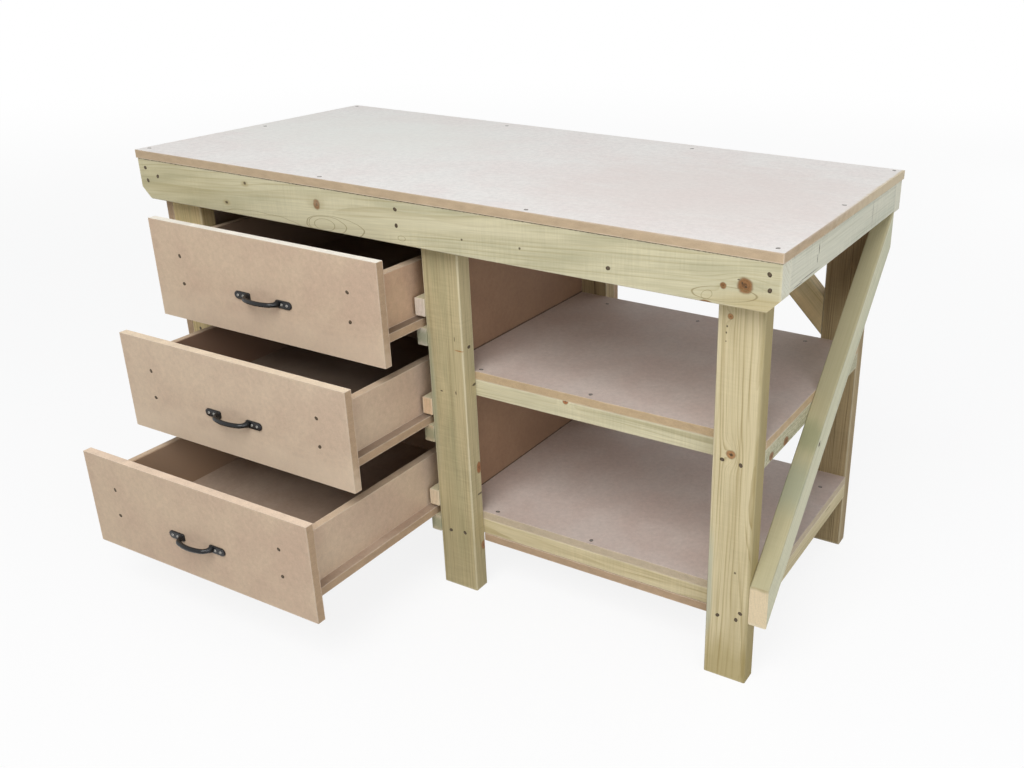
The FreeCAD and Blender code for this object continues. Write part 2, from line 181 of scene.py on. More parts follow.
def mark_group():
    """How far a point is from a mark, in the mark's own half sizes, and the swelling round it.

    Distance is the length of (position - centre) / size with some noise added, so it is about 1
    on the mark's rim. Swell is exp(-(that length squared)), without the noise, for a mark three
    times as long and half as wide again.
    """
    numbers = {"Position": ("Vector", (0, 0, 0)), "Centre": ("Vector", (0, 0, 0)),
               "Size": ("Vector", (1, 1, 1)), "Ragged": ("Float", 0.15),
               "Ripples": ("Vector", (160, 260, 260))}
    tree, given, out = new_group("mark", numbers, {"Distance": "Float", "Swell": "Float"})
    away = combine(tree, "SUBTRACT", given["Position"], given["Centre"])
    away = combine(tree, "DIVIDE", away, given["Size"])
    uneven = centred(tree, cloud(tree, given["Position"], given["Ripples"]), 2)
    uneven = calculate(tree, "MULTIPLY", uneven, given["Ragged"])
    distance = calculate(tree, "ADD", combine(tree, "LENGTH", away), uneven)
    connect(tree, distance, out.inputs["Distance"])
    stretched = combine(tree, "LENGTH", combine(tree, "DIVIDE", away, (3, 1.5, 1.5)))
    spread = calculate(tree, "MULTIPLY", calculate(tree, "POWER", stretched, 2), -1)
    connect(tree, calculate(tree, "EXPONENT", spread), out.inputs["Swell"])
    return tree


def arris_group():
    """Where a board or timber has worn edges, with a painted highlight along them.

    On a face, the distance to the nearest edge is the middle one of the three distances to the
    pairs of faces: their sum less the smallest and the largest.
    """
    numbers = {"Position": ("Vector", (0, 0, 0)), "Half size": ("Vector", (1, 1, 1)),
               "Width": ("Float", 5 * MM)}
    tree, given, out = new_group("arris wear and highlight", numbers, {"Wear and highlight": "Float"})
    depth = combine(tree, "SUBTRACT", given["Half size"],
                    combine(tree, "ABSOLUTE", given["Position"]))
    parts = add_node(tree, "ShaderNodeSeparateXYZ", {0: depth}).outputs
    least = calculate(tree, "MINIMUM", *parts)
    most = calculate(tree, "MAXIMUM", *parts)
    middle = calculate(tree, "SUBTRACT", calculate(tree, "ADD", *parts), least, most)
    uneven = centred(tree, cloud(tree, given["Position"], (40, 90, 90), detail=3), 2 * MM)
    worn = fall(tree, calculate(tree, "ADD", middle, uneven), 1 * MM, given["Width"])
    connect(tree, worn, out.inputs["Wear and highlight"])
    return tree


NO_KNOT = 9.0


def softwood_group():
    """Sawn softwood cut from a log whose heart runs along local X, off to one side.

    A point's ring is its distance from the heart, bent by slow noise and by the swelling round
    knots, divided by the ring width. A ring is plain for most of its width, and its late wood is
    a thin line that darkens slowly and stops sharply. Fibres, saw marks and damp patches lie over
    the rings. All of it climbs across the timber by the slope. Knot is the distance from the
    nearest knot in its own half sizes, with NO_KNOT where there is none.
    """
    numbers = {"Position": ("Vector", (0, 0, 0)), "Heart": ("Vector", (0, 0.05, -0.09)),
               "Ring width": ("Float", 0.006), "Wander": ("Float", 0.012),
               "Slope": ("Float", 0.0), "Swell": ("Float", 0.0), "Knot": ("Float", NO_KNOT),
               "End": ("Float", 0.0), "Wear and highlight": ("Float", 0.0), "Damp": ("Float", 0.1),
               "Line": ("Float", 0.6), "Saw": ("Float", 0.2), "Fibre": ("Float", 1.0),
               "Speckle": ("Float", 0.0),
               "Early wood": ("Color", colour("D2C9A6")), "Late wood": ("Color", colour("A89C6E")),
               "Knot wood": ("Color", colour("A66F47")), "Damp wood": ("Color", colour("A5A182")),
               "End wood": ("Color", colour("D2CBB0"))}
    outputs = {"Colour": "Color", "Roughness": "Float", "Height": "Float"}
    tree, given, out = new_group("sawn softwood", numbers, outputs)
    place = shear(tree, given["Position"], given["Slope"], 0.0)
    across = combine(tree, "MULTIPLY", combine(tree, "SUBTRACT", place, given["Heart"]), (0, 1, 1))
    radius = combine(tree, "LENGTH", across)
    slow = centred(tree, cloud(tree, place, (1.7, 9, 9), detail=1.5), 1)
    slow = calculate(tree, "MULTIPLY", slow, given["Wander"])
    quick = centred(tree, cloud(tree, place, (9, 40, 40)), 1.1 * MM)
    radius = calculate(tree, "ADD", radius, slow, quick, given["Swell"])
    count = calculate(tree, "DIVIDE", radius, given["Ring width"])
    bunched = add_node(tree, "ShaderNodeTexNoise", {"W": calculate(tree, "MULTIPLY", count, 0.31),
                       "Scale": 1.0, "Detail": 1.0}, noise_dimensions="1D").outputs[0]
    count = calculate(tree, "ADD", count, calculate(tree, "MULTIPLY", bunched, 3.0))
    phase = calculate(tree, "FRACT", count)
    late = calculate(tree, "MULTIPLY", rise(tree, phase, 0.45, 0.93), fall(tree, phase, 0.94, 1.0))
    late = calculate(tree, "POWER", late, 1.6)
    fading = rise(tree, cloud(tree, place, (3, 60, 60)), 0.32, 0.66)
    fading = calculate(tree, "ADD", calculate(tree, "MULTIPLY", fading, 0.8), 0.2)
    late = calculate(tree, "MULTIPLY", late, calculate(tree, "MULTIPLY", fading, given["Line"]))

    # Damp patches, dark streaks, saw marks, fibres and specks
    fine = cloud(tree, place, (16, 1100, 1100), roughness=0.6)
    fibre = cloud(tree, place, (9, 420, 420), detail=3, roughness=0.65)
    streak = cloud(tree, place, (2.6, 150, 150), detail=3, roughness=0.6)
    patch = cloud(tree, place, (4, 24, 24), detail=3)

    wood = tint(tree, late, given["Early wood"], given["Late wood"])
    damp = calculate(tree, "ADD", given["Damp"], centred(tree, patch, 0.9))
    wood = tint(tree, rise(tree, damp, -0.1, 0.9), wood, given["Damp wood"])
    dark = calculate(tree, "MULTIPLY", rise(tree, streak, 0.5, 0.75), 0.45)
    wood = tint(tree, dark, wood, given["Late wood"])
    saw = cloud(tree, place, (300, 20, 20), detail=1)
    sawn_here = rise(tree, cloud(tree, place, (6, 14, 14)), 0.35, 0.65)
    saw = calculate(tree, "MULTIPLY", calculate(tree, "SUBTRACT", saw, 0.5),
                    calculate(tree, "MULTIPLY", sawn_here, given["Saw"]))
    grain = calculate(tree, "ADD", centred(tree, fine, 0.12), centred(tree, fibre, 0.2))
    grain = calculate(tree, "MULTIPLY", grain, given["Fibre"])
    wood = scale(tree, wood, calculate(tree, "ADD", 1.0, saw, grain))
    speck = rise(tree, cloud(tree, place, (200, 260, 260), roughness=0.6), 0.47, 0.6)
    wood = tint(tree, calculate(tree, "MULTIPLY", speck, given["Speckle"]), wood,
                given["Late wood"])

    # End grain, and pale arrises: worn, and a painted highlight
    dots = cloud(tree, place, (350, 350, 350), detail=3, roughness=0.7)
    sawn = tint(tree, calculate(tree, "MULTIPLY", late, 0.55), given["End wood"],
                given["Late wood"])
    sawn = scale(tree, sawn, calculate(tree, "ADD", 1.0, centred(tree, dots, 0.22)))
    wood = tint(tree, given["End"], wood, sawn)
    pale = calculate(tree, "MULTIPLY", given["Wear and highlight"], 0.25)
    wood = tint(tree, pale, wood, colour("E6E0C8"))

    # Knots, with their own rings, a dark heart and a rim of bark
    knot = fall(tree, given["Knot"], 0.8, 1.15)
    grown = calculate(tree, "SINE", calculate(tree, "MULTIPLY", given["Knot"], 17))
    grown = calculate(tree, "ADD", 0.93, calculate(tree, "MULTIPLY", grown, 0.1))
    heart = calculate(tree, "ADD", 0.55, calculate(tree, "MULTIPLY", 0.45,
                      rise(tree, given["Knot"], 0.1, 0.55)))
    grown = calculate(tree, "MULTIPLY", grown, heart)
    mottle = centred(tree, cloud(tree, place, (230, 230, 230), detail=3, roughness=0.7), 0.6)
    grown = calculate(tree, "ADD", grown, mottle)
    wood = tint(tree, knot, wood, scale(tree, given["Knot wood"], grown))
    bark = calculate(tree, "MULTIPLY", rise(tree, given["Knot"], 0.7, 0.98),
                     fall(tree, given["Knot"], 0.98, 1.3))
    wood = tint(tree, calculate(tree, "MULTIPLY", bark, 0.5), wood, colour("7A5A38"))
    connect(tree, wood, out.inputs["Colour"])

    rough = calculate(tree, "ADD", 0.66, centred(tree, fibre, 0.1))
    rough = calculate(tree, "SUBTRACT", rough, calculate(tree, "MULTIPLY", knot, 0.15))
    connect(tree, rough, out.inputs["Roughness"])
    height = calculate(tree, "ADD", calculate(tree, "MULTIPLY", late, 0.35),
                       calculate(tree, "MULTIPLY", fibre, 0.65), saw)
    connect(tree, height, out.inputs["Height"])
    return tree


def fibreboard_group():
    """Fibreboard: smooth faces with flecks and clouds, and softer, streaky sawn edges.

    A dusting and a painted sheen lighten the edges that face up.
    """
    numbers = {"Position": ("Vector", (0, 0, 0)), "Edge": ("Float", 0.0), "Dust": ("Float", 0.0),
               "Wear and highlight": ("Float", 0.0), "Face": ("Color", colour("CBB59B")),
               "Cloud": ("Color", colour("C2A992")), "Sawn": ("Color", colour("B0967A")),
               "Dusty": ("Color", colour("D7CFC2"))}
    outputs = {"Colour": "Color", "Roughness": "Float", "Height": "Float"}
    tree, given, out = new_group("fibreboard", numbers, outputs)
    place = given["Position"]
    fleck = cloud(tree, place, (520, 520, 520), detail=3, roughness=0.7)
    mottle = cloud(tree, place, (90, 90, 90), detail=4, roughness=0.75)
    wide = cloud(tree, place, (6, 6, 6), detail=4, roughness=0.6)
    face = tint(tree, rise(tree, wide, 0.32, 0.68), given["Face"], given["Cloud"])
    face = scale(tree, face, calculate(tree, "ADD", 1.0, centred(tree, fleck, 0.14),
                                       centred(tree, mottle, 0.2)))
    grit = cloud(tree, place, (700, 700, 700), detail=3, roughness=0.75)
    drift = cloud(tree, place, (35, 35, 90), detail=3, roughness=0.65)
    sawn = tint(tree, given["Dust"], given["Sawn"], given["Dusty"])
    sawn = scale(tree, sawn, calculate(tree, "ADD", 1.0, centred(tree, grit, 0.3),
                                       centred(tree, drift, 0.22)))
    board = tint(tree, given["Edge"], face, sawn)
    # Paler arrises: worn, and a painted highlight.
    board = tint(tree, calculate(tree, "MULTIPLY", given["Wear and highlight"], 0.3), board, colour("E4D6C2"))
    connect(tree, board, out.inputs["Colour"])
    rough = calculate(tree, "ADD", 0.6, calculate(tree, "MULTIPLY", given["Edge"], 0.25),
                      centred(tree, mottle, 0.07))
    connect(tree, rough, out.inputs["Roughness"])
    grain = calculate(tree, "ADD", calculate(tree, "MULTIPLY", fleck, 0.25),
                      calculate(tree, "MULTIPLY", given["Edge"], grit))
    connect(tree, grain, out.inputs["Height"])
    return tree


MARK = mark_group()
ARRIS_WEAR_AND_HIGHLIGHT = arris_group()
SOFTWOOD = softwood_group()
FIBREBOARD = fibreboard_group()


def new_material(name):
    """A material with its tree and its shader."""
    material = bpy.data.materials.new(name)
    material.use_nodes = True
    tree = material.node_tree
    return material, tree, tree.nodes["Principled BSDF"]


def use_finish(tree, group, inputs, look):
    """Places a finish with a look's settings, named with _ for a space; its outputs by name."""
    look = {socket.replace("_", " "): setting for socket, setting in look.items()}
    outputs = use_group(tree, group, {**inputs, **look})
    return {name: outputs[name] for name in ("Colour", "Roughness", "Height")}


def finish_surface(tree, shader, outputs, depth, strength):
    """Feeds colour, roughness and relief to the shader."""
    connect(tree, outputs["Colour"], shader.inputs["Base Color"])
    connect(tree, outputs["Roughness"], shader.inputs["Roughness"])
    bump = add_node(tree, "ShaderNodeBump", {"Height": outputs["Height"], "Distance": depth,
                                             "Strength": strength})
    connect(tree, bump.outputs[0], shader.inputs["Normal"])


def place_on(tree, centre, grain, width):
    """Position and facing in a timber's own axes: X along its grain and Y across its width."""
    turn = Matrix((grain, width, grain.cross(width))).transposed().to_euler()
    texture = add_node(tree, "ShaderNodeTexCoord")
    moved = add_node(tree, "ShaderNodeMapping", {"Vector": texture.outputs["Object"],
                     "Location": centre, "Rotation": turn}, vector_type="TEXTURE")
    facing = combine(tree, "DOT_PRODUCT", texture.outputs["Normal"], grain)
    return moved.outputs[0], calculate(tree, "ABSOLUTE", facing)


def lay_mark(tree, position, spot, size, ragged, **ripples):
    """Places a mark and returns its distance and swell."""
    return use_group(tree, MARK, {"Position": position, "Centre": spot, "Size": size,
                                  "Ragged": ragged, **ripples})


def lay_stains(tree, position, under, stains):
    """Soft-edged patches of colour; each stain is (centre, half sizes, colour, strength)."""
    for spot, size, shade, strength in stains:
        mark = lay_mark(tree, position, spot, size, ragged=0.2, Ripples=(12, 60, 60))
        soft = calculate(tree, "MULTIPLY", fall(tree, mark["Distance"], 0.3, 1.3), strength)
        under = tint(tree, soft, under, colour(shade))
    return under


LOOP_LINE = 0.7 * MM
END_FACING = (0.6, 0.75)


def timber_material(name, centre, grain, width, half_size, marks, **look):
    """Treated timber with its marks, which are given in the timber's own axes.

    Each loop is (centre, half sizes, slope): a line of flat-sawn grain that closes on itself,
    where the distance is near 1. It is thin along its sides and broad at its tips.
    """
    material, tree, shader = new_material(name)
    position, facing = place_on(tree, centre, grain, width)
    swell, knot = 0.0, NO_KNOT
    for spot, size in marks["knots"]:
        mark = lay_mark(tree, position, spot, size, ragged=0.12, Ripples=(70, 110, 110))
        swell = calculate(tree, "ADD", swell, calculate(tree, "MULTIPLY", mark["Swell"], size[1]))
        knot = calculate(tree, "MINIMUM", knot, mark["Distance"])
    wear_and_highlight = use_group(tree, ARRIS_WEAR_AND_HIGHLIGHT, {"Position": position, "Half size": half_size})["Wear and highlight"]
    inputs = {"Position": position, "Swell": swell, "Knot": knot,
              "End": rise(tree, facing, *END_FACING), "Wear and highlight": wear_and_highlight}
    surface = use_finish(tree, SOFTWOOD, inputs, look)
    surface["Colour"] = lay_stains(tree, position, surface["Colour"], marks["stains"])
    for spot, size, slope in marks["loops"]:
        sheared = shear(tree, position, slope, spot[0])
        mark = lay_mark(tree, sheared, spot, size, ragged=0.045, Ripples=(22, 60, 60))
        off = calculate(tree, "ABSOLUTE", calculate(tree, "SUBTRACT", mark["Distance"], 1.0))
        line = calculate(tree, "MULTIPLY", fall(tree, off, 0.0, LOOP_LINE / size[1]), 0.75)
        surface["Colour"] = tint(tree, line, surface["Colour"], colour("83734A"))
    for spot, size in marks["cracks"]:
        mark = lay_mark(tree, position, spot, size, ragged=0.3)
        split = fall(tree, mark["Distance"], 0.6, 1.25)
        surface["Colour"] = tint(tree, calculate(tree, "MULTIPLY", split, 0.85),
                                 surface["Colour"], colour("443725"))
        surface["Height"] = calculate(tree, "SUBTRACT", surface["Height"], split)
    finish_surface(tree, shader, surface, depth=0.7 * MM, strength=0.5)
    shader.inputs["Specular IOR Level"].default_value = 0.3
    return material


def board_material(name, low, high, thin, stains, **look):
    """A sheet of fibreboard whose faces look along the thin axis."""
    material, tree, shader = new_material(name)
    texture = add_node(tree, "ShaderNodeTexCoord")
    position = combine(tree, "SUBTRACT", texture.outputs["Object"], (low + high) / 2)
    facing = combine(tree, "DOT_PRODUCT", texture.outputs["Normal"], thin)
    edge = fall(tree, calculate(tree, "ABSOLUTE", facing), *END_FACING)
    # Up-facing sawn edges are lighter: a dusting and a painted sheen.
    dust_and_sheen = rise(tree, combine(tree, "DOT_PRODUCT", texture.outputs["Normal"], Z), *END_FACING)
    wear_and_highlight = use_group(tree, ARRIS_WEAR_AND_HIGHLIGHT, {"Position": position, "Half size": (high - low) / 2,
                                     "Width": 2 * MM})["Wear and highlight"]
    inputs = {"Position": position, "Edge": edge, "Dust": dust_and_sheen, "Wear and highlight": wear_and_highlight}
    surface = use_finish(tree, FIBREBOARD, inputs, look)
    surface["Colour"] = lay_stains(tree, position, surface["Colour"], stains)
    finish_surface(tree, shader, surface, depth=0.3 * MM, strength=0.35)
    shader.inputs["Specular IOR Level"].default_value = 0.25
    return material


def dress(node, material):
    """Gives a CAD node its finish."""
    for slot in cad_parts[node].material_slots:
        slot.material = material


# Places on the bench are given in millimetres from the worktop's left end, its front edge and
# the floor, as they are read off the photograph. Named here are the ways that faces look, the
# bench's sizes and where its faces lie.

WORKTOP_LEFT, WORKTOP_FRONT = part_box("worktop")[0][:2]
FRONT, RIGHT, LEFT, BACK, UP = -Y, X, -X, Y, Z
BENCH_LONG, BENCH_DEEP, BENCH_HIGH = 1524, 700, 900
APRON_FACE, LEG_FACE, BACK_PANEL_FACE, BACK_APRON_FACE = 2, 40, 672, 692
SIDE_PANEL_FACE, MIDDLE_LEG_SIDE, END_FACE = 22, 837, 1522
LOWER_SHELF_TOP, UPPER_SHELF_TOP = 186, 520
BOARD_THICK = 18


def on_bench(x, y, z):
    """A place on the bench in the scene's metres."""
    return Vector((WORKTOP_LEFT + x * MM, WORKTOP_FRONT + y * MM, z * MM))


# Timber

PALE = shades(Early_wood="CFC7A6", Late_wood="A1946A")
CREAM = shades(Early_wood="CDBF99", Late_wood="94804F", Damp_wood="B3A47C")
OLIVE = shades(Early_wood="BCAE87", Late_wood="857650", Damp_wood="98936F")
HONEY = shades(Early_wood="CEB988", Late_wood="938050", Damp_wood="A79C70")
SHADED = shades(Early_wood="A6926C", Late_wood="644F35", Damp_wood="8B7A58")
APRON_GREEN = shades(Early_wood="D3D1BD", Late_wood="A9A78D", Damp_wood="BEC3B0", End_wood="D8D6C2")
BRACE_GREEN = shades(Early_wood="D4D1B4", Late_wood="A5A282", Damp_wood="BBBDA3", End_wood="DCC7A4")
RAIL_GREEN = shades(Early_wood="C4BE9F", Late_wood="7C7657", Damp_wood="A5A78C")


def marked_timber(name, centre, axes, half_size, knots=(), loops=(), cracks=(), stains=(), **look):
    """A timber's material.

    Its marks are at (x, y, z) on the bench, with half sizes (along the grain, across, through).
    """
    groups = {"knots": knots, "loops": loops, "cracks": cracks, "stains": stains}
    marks = {kind: [([axis.dot(on_bench(*spot) - centre) for axis in axes],
                     [half * MM for half in size], *rest) for spot, size, *rest in group]
             for kind, group in groups.items()}
    return timber_material(name, centre, *axes[:2], half_size, marks, **look)


def dress_timber(node, grain, width, **look):
    """Finishes a CAD timber."""
    low, high = cad_corners(node)
    centre, half = (low + high) / 2, (high - low) / 2
    axes = (grain, width, grain.cross(width))
    half_size = [sum(abs(a * h) for a, h in zip(axis, half)) for axis in axes]
    dress(node, marked_timber(node, centre, axes, half_size, **look))


PIN_SIZE = (2.8, 2.3, 8)


def pin_marks(*spots):
    """Small dark marks, a few millimetres across."""
    return [(spot, PIN_SIZE) for spot in spots]


# Painted shadow along the joint under the worktop, on the front and on the right: a dark crack line
# with a groove in its relief
SHADOW_LINE_HIGH, SHADOW_LINE_HALF_WIDE = BENCH_HIGH - BOARD_THICK + 0.5, 2.6
SHADOW_LINE_UNDER_TOP = ((BENCH_LONG / 2, APRON_FACE, SHADOW_LINE_HIGH), (BENCH_LONG, SHADOW_LINE_HALF_WIDE, 60))
END_SHADOW_LINE_UNDER_TOP = ((BENCH_LONG, BENCH_DEEP / 2, SHADOW_LINE_HIGH), (900, SHADOW_LINE_HALF_WIDE, 60))

dress_timber(
    "apron_front", X, Z,
    knots=[((1458, 2, 834), (13, 13, 30)), ((1419, 2, 828), (5.5, 5.5, 25)),
           ((522, 2, 846), (8, 10, 25)), ((1387, 2, 794), (10, 3, 6))],
    loops=[((538, 2, 806), (27, 12, 60), 0.03), ((545, 2, 806), (50, 18, 60), 0.02),
           ((565, 2, 805), (76, 21, 60), 0), ((352, 2, 770), (155, 38, 60), 0.01),
           ((736, 2, 807), (9, 5, 60), 0), ((1389, 2, 807), (10, 8, 60), 0.3),
           ((1420, 2, 813), (60, 13, 60), 0.09)],
    cracks=[SHADOW_LINE_UNDER_TOP, ((1460, 2, 832), (2.6, 1.9, 8)), ((1453, 2, 838), (1.8, 2.2, 8)),
            ((1446, 2, 843), (2.6, 1.2, 4)), ((325, 2, 865), (4, 3.1, 8)),
            ((263, 2, 816), (4, 3.1, 8)), *pin_marks((881, 2, 826), (1012, 2, 829))],
    stains=[((90, 2, 830), (260, 75, 40), "A89C6C", 0.25),
            ((1500, 2, 800), (110, 26, 40), "B9A36F", 0.45),
            ((760, 2, 850), (420, 16, 40), "D6CDAF", 0.2),
            ((325, 2, 864), (12, 7, 20), "A08A58", 0.5),
            ((263, 2, 816), (12, 7, 20), "A08A58", 0.5)],
    Heart=(0, 0.02, -0.055), Ring_width=0.0075, Wander=0.016, Line=0.55, Slope=0.08,
    **shades(Knot_wood="8A623C", End_wood="D8D6C2"), **PALE)
dress_timber(
    "apron_back", X, Z, knots=[((300, 692, 830), (9, 8, 25)), ((1100, 692, 850), (6, 5, 25))],
    Heart=(0, 0.05, -0.07), **shades(End_wood="D8D6C2"), **PALE)
dress_timber("apron_left", Y, Z, knots=[((2, 400, 820), (8, 7, 20))], Heart=(0, 0.1, -0.05),
             **APRON_GREEN)
dress_timber("cross_rail", Y, Z, **OLIVE)
dress_timber(
    "leg_front_right", Z, X,
    knots=[((1432, 40, 497), (8, 9, 25)), ((1419, 40, 761), (5, 5, 20))],
    cracks=[((1432, 40, 497), (3, 4, 8)), ((1413, 40, 742), (2, 1.5, 8)),
            ((1412, 40, 730), (2, 1.4, 8)), ((1412, 40, 714), (1.6, 1.1, 8)),
            *pin_marks((1452, 40, 249))],
    stains=[((1440, 60, 10), (95, 200, 200), "9F8E5C", 0.6),
            ((1399, 40, 215), (130, 9, 20), "AFB3A0", 0.6),
            # Painted shade: the right side face is darkened along its length.
            ((1484, 60, 400), (1200, 7, 60), "8C7C4A", 0.7)],
    Heart=(0, 0.035, 0.075), Ring_width=0.003, Wander=0.012, Line=0.75, Saw=0.12,
    **shades(Knot_wood="A97E52"), **CREAM)
dress_timber(
    "leg_front_middle", Z, X,
    knots=[((837, 71, 298), (13, 8, 7)), ((837, 71, 104), (10, 8, 7))],
    cracks=[((818, 40, 600), (6, 0.8, 3)), ((776, 40, 477), (1.8, 3.4, 3)),
            ((813, 40, 480), (4.5, 1.3, 3)), *pin_marks((837, 72, 493), (837, 70, 235))],
    stains=[((752, 40, 470), (170, 11, 20), "8E9B86", 0.45),
            ((829, 40, 576), (1.8, 12, 9), "A06A30", 0.9),
            ((790, 60, 80), (150, 200, 200), "8B7A4B", 0.2)],
    Heart=(0, 0.1, 0.1), Ring_width=0.0036, Wander=0.006, Line=0.5, Saw=0.3, Fibre=1.5, **OLIVE)
dress_timber("leg_front_left", Z, X, knots=[((100, 40, 300), (8, 7, 25))],
             Heart=(0, 0.06, 0.09), Ring_width=0.0045, Line=0.5, **HONEY)
# Painted shade: the back legs take darker copies of the timber colours for their place under the
# worktop, and the right one also has a painted shadow from the worktop at its top.
WORKTOP_SHADOW = ((1440, 616, 770), (170, 200, 200), "5E4526", 0.5)
BACK_LEGS = {"left": (-0.05, ()), "middle": (0.02, ()), "right": (-0.11, [WORKTOP_SHADOW])}
for side, (heart, stains) in BACK_LEGS.items():
    dress_timber(f"leg_back_{side}", Z, X, stains=stains, Heart=(0, heart, -0.09),
                 Ring_width=0.004, Line=0.9, Fibre=1.3, **SHADED)
dress_timber(
    "upper_shelf_rail_right", Y, X,
    knots=[((1484, 183, 474), (12, 9, 9)), ((1484, 109, 476), (10, 8, 8))], Speckle=0.4,
    **shades(Knot_wood="8A6038"), **RAIL_GREEN)
dress_timber("lower_shelf_rail_right", Y, X, cracks=[((1484, 499, 161), (22, 3, 1))], **CREAM)
dress_timber("upper_shelf_rail_front", X, Y, knots=[((1055, 78, 501), (6, 14, 6))],
             Heart=(0, -0.09, 0.03), Ring_width=0.006, Line=0.6, **PALE)
dress_timber("lower_shelf_rail_front", X, Y, Heart=(0, -0.11, -0.02), Ring_width=0.006, **CREAM)
for level in ("upper", "lower"):
    dress_timber(f"{level}_shelf_rail_left", Y, X, **OLIVE)
    dress_timber(f"{level}_shelf_rail_back", X, Y, **OLIVE)
dress_timber("knee_brace", (X - Z).normalized(), (X + Z).normalized(), Heart=(0, 0.03, 0.08),
             Line=0.5, **shades(Early_wood="E0C999", Late_wood="9E8A54"))
DRAWERS = ("bottom_drawer", "middle_drawer", "top_drawer")
RUNNER_HIGH = 38 * MM
for drawer, end_wood in zip(DRAWERS, ("DCC8AA", "D4B694", "D8CABB")):
    for side in ("left", "right"):
        node = f"{drawer}_runners_{side}"
        low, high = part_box(node)
        lower_end = ((low[0] + high[0]) / 2 - WORKTOP_LEFT, low[1] - WORKTOP_FRONT,
                     low[2] + RUNNER_HIGH / 2)
        dress_timber(node, Y, Z, **shades(End_wood=end_wood), **PALE, stains=[
            ([place / MM for place in lower_end], (8, 21, 60), "8F9474", 0.75)])

# Fibreboard


def dress_board(node, thin, stains=(), **look):
    """Finishes a board; its stains have their half sizes along X, Y and Z."""
    low, high = cad_corners(node)
    stains = [(on_bench(*spot) - (low + high) / 2, [half * MM for half in size], *rest)
              for spot, size, *rest in stains]
    dress(node, board_material(node, low, high, thin, stains, **look))


# The worktop's face colours are paler and greyer than the other boards', partly the board's own
# tone and partly a painted reflection of the sky on its top; the stain on the back part of its
# right edge is a painted sheen.
dress_board("worktop", Z, [((1280, 300, 900), (420, 330, 6), "DDD0C9", 0.5),
                           ((300, 420, 900), (420, 260, 6), "E8EAE2", 0.5),
                           ((1524, 720, 891), (7, 470, 40), "D2C2A4", 0.95)],
            **shades(Face="E8E5E0", Cloud="E6DFDA", Sawn="B9A386"))
for node, sawn in (("upper_shelf", "BBA381"), ("lower_shelf", "BBAB92")):
    dress_board(node, Z, **shades(Face="C9BBB2", Cloud="C3B0A6", Sawn=sawn))
dress_board("side_panel", X)
# Painted shade: a dark line runs along the partition above each shelf, in the corner where they
# meet.
# The partition's face colours are darker than the other boards', partly its own tone and partly
# painted shade in the bay.
dress_board("partition", X, [((766, 350, shelf_top + 1), (6, 900, 3.2), "33261B", 0.8)
                             for shelf_top in (UPPER_SHELF_TOP, LOWER_SHELF_TOP)],
            **shades(Face="96775D", Cloud="8C6D55"))
dress_board("back_panel", Y)
dress_board("lower_shelf_strip", Z)

BAY_MIDDLE = 438
PAINTED_LIGHT_SIZE = (700, 30, 80)
WHOLE_FACE = 3000
# Painted shade inside the drawers: each inside colour darkens the left side's inner face, and the
# base colours are darker for the shade inside the box.
BOX_LOOKS = {
    "bottom_drawer": {"dust_and_sheen": "E7D0B8", "inside": "A68B72"},
    "middle_drawer": {"dust_and_sheen": "E9D6BC", "inside": "8A6E5A", "painted_light_foot": (-207, 345, 0.5),
                      "front": shades(Face="CFBAA1", Cloud="C5AE97"),
                      "base": shades(Face="9E8B7A", Cloud="917D6C")},
    "top_drawer": {"dust_and_sheen": "F4EEE2", "inside": "8A7460", "painted_light_foot": (-91, 566, 0.35),
                   "side": shades(Face="C7A98B", Cloud="BE9D83"),
                   "base": shades(Face="8E7D6C", Cloud="827060")},
}
BASE_IN_PAINTED_SHADE = shades(Face="B5A08D", Cloud="A8917E")


def dress_drawer(drawer, dust_and_sheen, inside, painted_light_foot=None, front=None, side=None, base=None):
    """Finishes a drawer's boards.

    The front may have painted light along its foot, at (y, z, strength). The left side's inner face
    is darker, as painted shade inside the box.
    """
    foot = []
    if painted_light_foot:
        y, z, strength = painted_light_foot
        # Painted light: a paler patch along the front's foot.
        foot.append(((BAY_MIDDLE, y, z), PAINTED_LIGHT_SIZE, "E3D0B6", strength))
    front_dust_and_sheen, box_dust_and_sheen = shades(Dusty=dust_and_sheen), shades(Dusty="CDB59A")
    side = {**box_dust_and_sheen, **(side or {})}
    dress_board(drawer + "_front", Y, foot, **front_dust_and_sheen, **(front or {}))
    dress_board(drawer + "_inner_front", Y, **front_dust_and_sheen)
    # Painted shade: the back, the left side's inner face and the base are darker inside the box.
    dress_board(drawer + "_back", Y, **shades(Face="B7A18B", Cloud="AD937E"), **box_dust_and_sheen)
    low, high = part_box(drawer + "_side_left")
    middle = [(low[axis] + high[axis]) / 2 / MM for axis in range(3)]
    inner_face = ((high[0] - WORKTOP_LEFT) / MM, middle[1] - WORKTOP_FRONT / MM, middle[2])
    dress_board(drawer + "_side_left", X,
                [(inner_face, (6, WHOLE_FACE, WHOLE_FACE), inside, 1.0)], **side)
    dress_board(drawer + "_side_right", X, **side)
    dress_board(drawer + "_base", Z, **(base or BASE_IN_PAINTED_SHADE))


for drawer, looks in BOX_LOOKS.items():
    dress_drawer(drawer, **looks)

# Metal, and the dark rims round the screws: bruised fibres and painted shade in the countersinks


